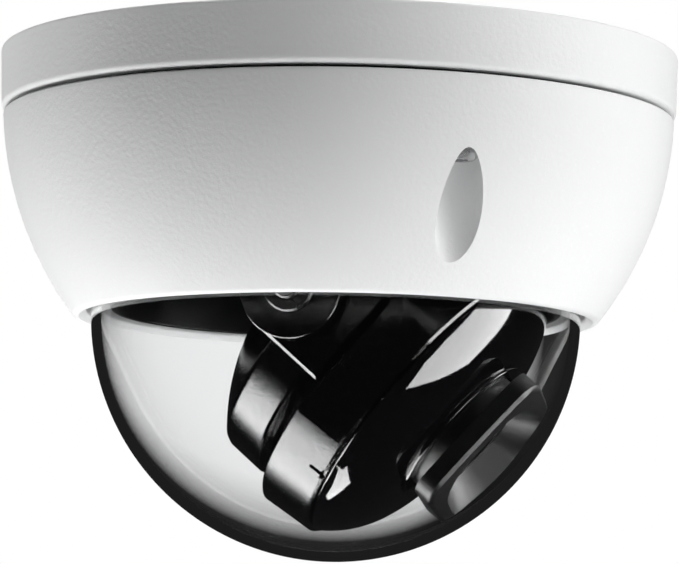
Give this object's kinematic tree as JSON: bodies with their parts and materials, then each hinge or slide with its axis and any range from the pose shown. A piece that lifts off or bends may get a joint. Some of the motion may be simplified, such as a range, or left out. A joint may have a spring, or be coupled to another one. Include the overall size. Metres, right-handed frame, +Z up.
{
  "type": "dome security camera",
  "caption": "Ceiling dome security camera: white round base and cover, clear bubble, and a black lens head inside that pans, tilts and turns.",
  "frame": {"origin": "centre of the flat ceiling face of the base", "axes": "+Z up into the ceiling, -Y to the front of the housing, +X to the right seen from behind the camera"},
  "size_m": [0.122, 0.122, 0.091],
  "materials": {
    "white_coat": "fine textured white powder coat",
    "black_rubber": "matte",
    "circuit_board": "solder mask",
    "screw_steel": "bright",
    "socket_plastic": "satin",
    "sheet_metal": "plain",
    "clear_bubble": "clear polycarbonate",
    "black_moulding": "fine spark texture",
    "gloss_window": "polished black infra-red window",
    "led_lens": "clear epoxy",
    "lens_coating": "coated lens",
    "sensor_chip": "smooth"
  },
  "bodies": {
    "housing": {"base_housing": "white_coat", "cable_grommet": "black_rubber", "base_gasket": "black_rubber", "main_board": "circuit_board", "board_screw_1": "screw_steel", "board_screw_2": "screw_steel", "board_screw_3": "screw_steel", "lead_connector": "socket_plastic", "chassis_plate": "sheet_metal", "chassis_screw_1": "screw_steel", "chassis_screw_2": "screw_steel", "chassis_screw_3": "screw_steel", "cover_shell": "white_coat", "cover_screw_1": "screw_steel", "cover_screw_2": "screw_steel", "cover_screw_3": "screw_steel", "dome_bubble": "clear_bubble", "dome_seal": "black_rubber", "clamp_ring": "sheet_metal", "clamp_screw_1": "screw_steel", "clamp_screw_2": "screw_steel", "clamp_screw_3": "screw_steel", "inner_liner": "black_moulding"},
    "yoke": {"turntable": "black_moulding", "pan_clip": "screw_steel", "yoke_arm_left": "black_moulding", "yoke_arm_right": "black_moulding", "arm_screw_left": "screw_steel", "arm_screw_right": "screw_steel", "tilt_washer_left": "screw_steel", "tilt_washer_right": "screw_steel", "tilt_screw_left": "screw_steel", "tilt_screw_right": "screw_steel"},
    "head": {"rear_shell": "black_moulding", "index_ring": "black_moulding"},
    "lens_unit": {"front_dome": "gloss_window", "front_frame": "sheet_metal", "ir_board": "circuit_board", "ir_led_1": "led_lens", "ir_led_2": "led_lens", "ir_led_3": "led_lens", "ir_led_4": "led_lens", "ir_led_5": "led_lens", "ir_led_6": "led_lens", "lens_hood": "black_rubber", "lens_barrel": "black_moulding", "lens_glass": "lens_coating", "sensor_board": "circuit_board", "image_sensor": "sensor_chip", "sensor_post_1": "sheet_metal", "sensor_post_2": "sheet_metal"}
  },
  "joints": [
    {"name": "pan", "type": "hinge", "parent": "housing", "child": "yoke", "pos_m": [0, 0, -0.0185], "axis": [0, 0, 1], "range_deg": [-177.5, 177.5]},
    {"name": "tilt", "type": "hinge", "parent": "yoke", "child": "head", "pos_m": [0, 0, -0.0451], "axis": [0.993, -0.1184, 0], "range_deg": [-13.4, 48.6]},
    {"name": "lens_turn", "type": "hinge", "parent": "head", "child": "lens_unit", "pos_m": [0, 0, -0.0471], "axis": [-0.0888, -0.7448, -0.6613], "range_deg": [-177.5, 177.5]}
  ]
}
